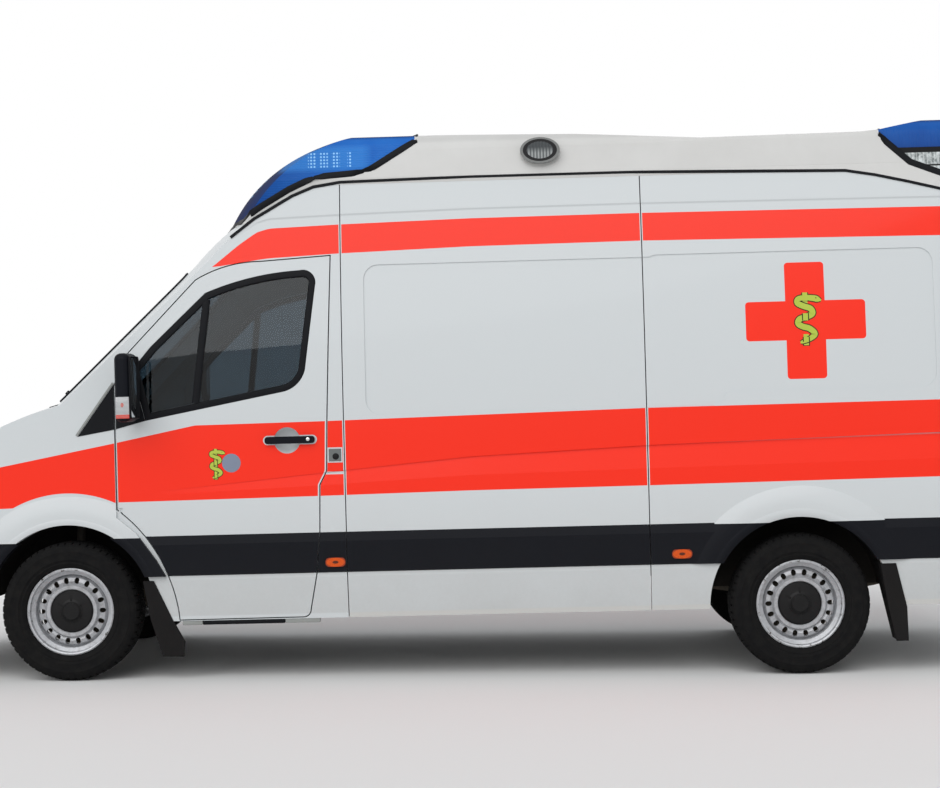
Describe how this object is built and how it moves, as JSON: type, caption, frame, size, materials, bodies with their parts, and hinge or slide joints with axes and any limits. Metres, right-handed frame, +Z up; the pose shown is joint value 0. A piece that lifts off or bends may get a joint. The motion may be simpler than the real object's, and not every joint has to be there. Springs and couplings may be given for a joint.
{
  "type": "high-roof van ambulance",
  "caption": "High-roof panel van fitted out as an ambulance, with roof light bar, side stripes, opening doors, bonnet, steering and rolling wheels.",
  "frame": {"origin": "on the ground, at the middle of the van's length and width", "axes": "+X towards the tail, +Y to the van's right-hand side, +Z up; the nose points along -X"},
  "size_m": [5.9083, 2.4306, 2.7916],
  "materials": {
    "white_paint": "gloss white with red-orange film stripes",
    "trim_plastic": "grained dark plastic",
    "cab_plastic": "grained cab plastic",
    "lining_panel": "pale wipe-clean lining",
    "floor_covering": "studded floor covering",
    "clear_glass": "clear glass",
    "tinted_glass": "frosted glass",
    "blue_lens": "deep blue signal lens",
    "lamp_lens": "clear headlamp lens",
    "clear_lens": "clear lamp lens in a grey bezel",
    "red_lens": "ribbed red lens",
    "amber_lens": "amber lens",
    "chassis_paint": "black underbody paint",
    "cast_metal": "rough casting",
    "seat_fabric": "woven seat cloth",
    "flap_rubber": "black rubber",
    "tyre_rubber": "worn tyre",
    "wheel_steel": "silver painted steel with a dark cap"
  },
  "bodies": {
    "body": {"rub_strips": "trim_plastic", "left_side_panel": "white_paint", "left_rear_panel": "white_paint", "right_rear_panel": "white_paint", "right_sliding_door": "white_paint", "sliding_door_glass": "tinted_glass", "roof_panel": "white_paint", "cab_frame": "white_paint", "windscreen": "clear_glass", "front_wings": "white_paint", "grille": "trim_plastic", "headlights": "lamp_lens", "front_bumper": "trim_plastic", "front_light_lens": "blue_lens", "rear_light_lens": "blue_lens", "roof_fairing": "white_paint", "rear_frame": "white_paint", "tail_lamps": "red_lens", "rear_bumper": "trim_plastic", "load_floor": "floor_covering", "cab_floor": "floor_covering", "bulkhead": "lining_panel", "wheel_arch_liners": "trim_plastic", "chassis_rails": "chassis_paint", "towing_socket": "cast_metal", "engine_block": "cast_metal", "fuel_tank": "trim_plastic", "front_axle": "chassis_paint", "rear_axle": "chassis_paint", "seat_frames": "chassis_paint", "driver_seat": "seat_fabric", "passenger_seat": "seat_fabric", "dashboard": "cab_plastic", "steering_column": "cab_plastic", "side_lamps": "clear_lens", "marker_lamps": "amber_lens", "mud_flaps": "flap_rubber"},
    "left_door": {"left_front_door": "white_paint", "left_door_glass": "clear_glass", "left_mirror": "trim_plastic"},
    "right_door": {"right_front_door": "white_paint", "right_door_glass": "clear_glass", "right_mirror": "trim_plastic"},
    "left_tail_door": {"left_rear_door": "white_paint", "left_rear_door_glass": "tinted_glass"},
    "right_tail_door": {"right_rear_door": "white_paint", "right_rear_door_glass": "tinted_glass"},
    "bonnet_lid": {"bonnet": "white_paint"},
    "left_steering_knuckle": {"left_knuckle": "cast_metal"},
    "right_steering_knuckle": {"right_knuckle": "cast_metal"},
    "steering_wheel_body": {"steering_wheel": "cab_plastic"},
    "front_left_road_wheel": {"front_left_tyre": "tyre_rubber", "front_left_wheel": "wheel_steel"},
    "front_right_road_wheel": {"front_right_tyre": "tyre_rubber", "front_right_wheel": "wheel_steel"},
    "rear_left_road_wheel": {"rear_left_tyre": "tyre_rubber", "rear_left_wheel": "wheel_steel"},
    "rear_right_road_wheel": {"rear_right_tyre": "tyre_rubber", "rear_right_wheel": "wheel_steel"}
  },
  "joints": [
    {"name": "left_door_hinge", "type": "hinge", "parent": "body", "child": "left_door", "pos_m": [-1.69318, -0.9667, 1.18521], "axis": [0.0122, -0.0081, -0.9999], "range_deg": [0, 65]},
    {"name": "right_door_hinge", "type": "hinge", "parent": "body", "child": "right_door", "pos_m": [-1.69318, 0.9667, 1.18521], "axis": [-0.0122, -0.0081, 0.9999], "range_deg": [0, 65]},
    {"name": "left_tail_door_hinge", "type": "hinge", "parent": "body", "child": "left_tail_door", "pos_m": [2.88332, -0.842, 1.49915], "axis": [0.0122, 0, -0.9999], "range_deg": [0, 180]},
    {"name": "right_tail_door_hinge", "type": "hinge", "parent": "body", "child": "right_tail_door", "pos_m": [2.88332, 0.842, 1.49915], "axis": [-0.0122, 0, 0.9999], "range_deg": [0, 180]},
    {"name": "bonnet_hinge", "type": "hinge", "parent": "body", "child": "bonnet_lid", "pos_m": [-2.12028, 0, 1.35401], "axis": [0, 1, 0], "range_deg": [0, 42]},
    {"name": "left_kingpin", "type": "hinge", "parent": "body", "child": "left_steering_knuckle", "pos_m": [-1.951, -0.72, 0.35], "axis": [-0.0122, 0, 0.9999], "range_deg": [-33, 33]},
    {"name": "right_kingpin", "type": "hinge", "parent": "body", "child": "right_steering_knuckle", "pos_m": [-1.951, 0.72, 0.35], "axis": [-0.0122, 0, 0.9999], "range_deg": [-33, 33]},
    {"name": "steering_wheel_turn", "type": "hinge", "parent": "body", "child": "steering_wheel_body", "pos_m": [-1.39982, -0.42, 1.15679], "axis": [0.8415, 0, 0.5402], "range_deg": [-500, 500]},
    {"name": "front_left_wheel_spin", "type": "hinge", "parent": "left_steering_knuckle", "child": "front_left_road_wheel", "pos_m": [-1.951, -0.855, 0.35], "axis": [0, 1, 0], "continuous": true},
    {"name": "front_right_wheel_spin", "type": "hinge", "parent": "right_steering_knuckle", "child": "front_right_road_wheel", "pos_m": [-1.951, 0.855, 0.35], "axis": [0, 1, 0], "continuous": true},
    {"name": "rear_left_wheel_spin", "type": "hinge", "parent": "body", "child": "rear_left_road_wheel", "pos_m": [1.714, -0.855, 0.35], "axis": [0, 1, 0], "continuous": true},
    {"name": "rear_right_wheel_spin", "type": "hinge", "parent": "body", "child": "rear_right_road_wheel", "pos_m": [1.714, 0.855, 0.35], "axis": [0, 1, 0], "continuous": true}
  ],
  "couplings": [
    {"joint": "right_kingpin", "follows": "left_kingpin", "ratio": 1},
    {"joint": "steering_wheel_turn", "follows": "left_kingpin", "ratio": 15}
  ]
}
